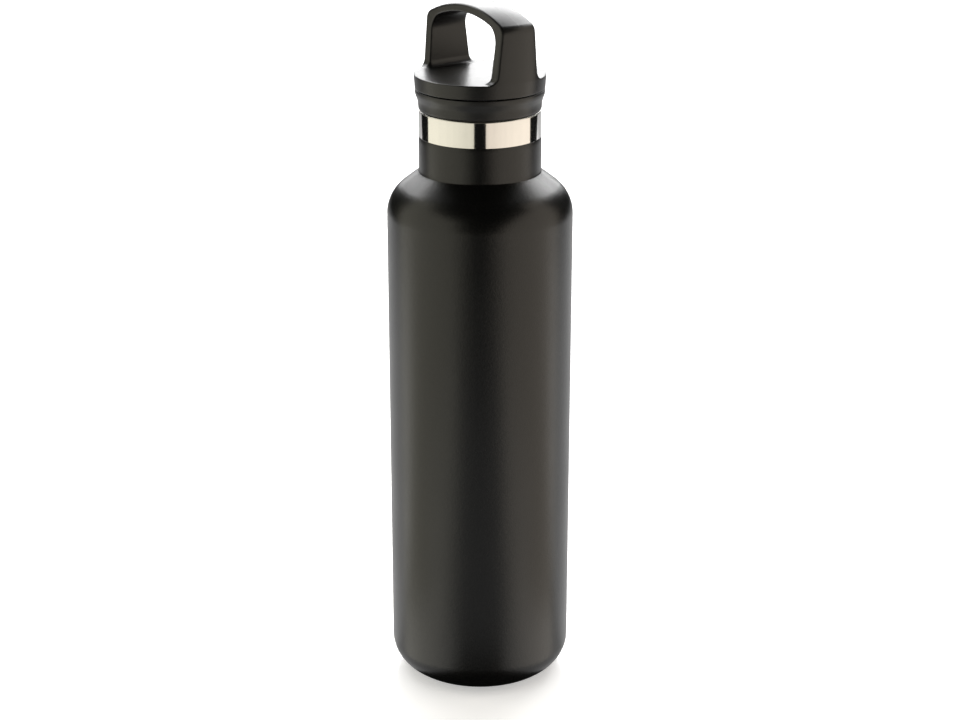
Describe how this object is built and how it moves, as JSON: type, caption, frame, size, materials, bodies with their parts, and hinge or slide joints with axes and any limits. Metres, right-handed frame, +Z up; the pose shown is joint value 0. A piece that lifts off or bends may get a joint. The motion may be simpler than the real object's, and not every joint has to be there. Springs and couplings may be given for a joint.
{
  "type": "insulated water bottle",
  "caption": "Slim double-wall steel vacuum bottle with a matt black coating, a bare steel neck band and a screw lid with a fixed carry loop.",
  "frame": {"origin": "middle of the base, on the surface that the bottle stands on", "axes": "+Z up along the bottle's axis; the finger hole of the carry loop runs along Y and its two legs stand at +X and -X"},
  "size_m": [0.0728, 0.0728, 0.2773],
  "materials": {
    "steel_polished": "polished",
    "steel_pressed": "satin",
    "steel_inner": "satin",
    "powder_coat": "fine-grained matt powder coating",
    "cap_plastic": "matt moulded polypropylene",
    "plug_plastic": "satin moulded polypropylene",
    "silicone": "matte",
    "foam": "rigid closed-cell foam",
    "copper": "bright rolled foil",
    "solder_glass": "gloss",
    "getter_metal": "sintered powder"
  },
  "bodies": {
    "bottle": {"outer_shell": "steel_polished", "powder_coat": "powder_coat", "base_cover": "steel_pressed", "vacuum_base": "steel_pressed", "seal_bead": "solder_glass", "getter_holder": "steel_pressed", "getter_pellet": "getter_metal", "inner_base": "steel_inner", "inner_flask": "steel_inner", "copper_foil": "copper"},
    "lid_seal": {"lip_gasket": "silicone"},
    "lid": {"plug_body": "plug_plastic", "plug_disc": "plug_plastic", "foam_core": "foam", "handle_cap": "cap_plastic"}
  },
  "joints": [
    {"name": "lid_rise", "type": "slide", "parent": "bottle", "child": "lid_seal", "axis": [0, 0, 1], "range_m": [0, 0.0241]},
    {"name": "lid_turn", "type": "hinge", "parent": "lid_seal", "child": "lid", "pos_m": [0, 0, 0.236], "axis": [0, 0, 1], "range_deg": [0, 1080]}
  ],
  "couplings": [
    {"joint": "lid_rise", "follows": "lid_turn", "m_per_rad": 0.0012732}
  ]
}
